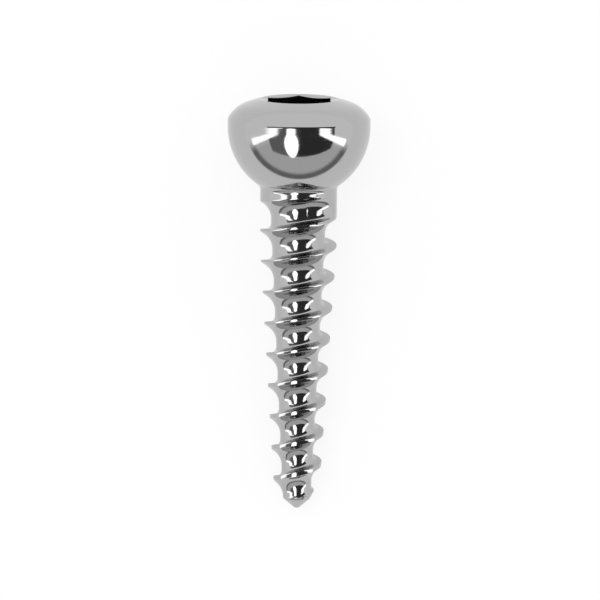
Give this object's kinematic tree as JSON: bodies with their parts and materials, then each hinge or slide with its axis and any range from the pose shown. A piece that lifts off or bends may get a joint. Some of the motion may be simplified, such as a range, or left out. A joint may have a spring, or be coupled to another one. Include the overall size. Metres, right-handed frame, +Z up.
{
  "type": "interference screw",
  "caption": "Bone screw with a ball-shaped domed head, a hexagon socket, a short plain neck and a tapering one-sided thread that ends in a blunt cone.",
  "frame": {"origin": "on the table, under the middle of the lying screw's bounding box", "axes": "+Y along the lying screw towards its head, +Z up, +X across it"},
  "size_m": [0.008, 0.0232, 0.008],
  "materials": {
    "steel": "polished, with fine turning lines around the head and along the thread"
  },
  "bodies": {
    "root": {"screw": "steel"}
  },
  "joints": []
}
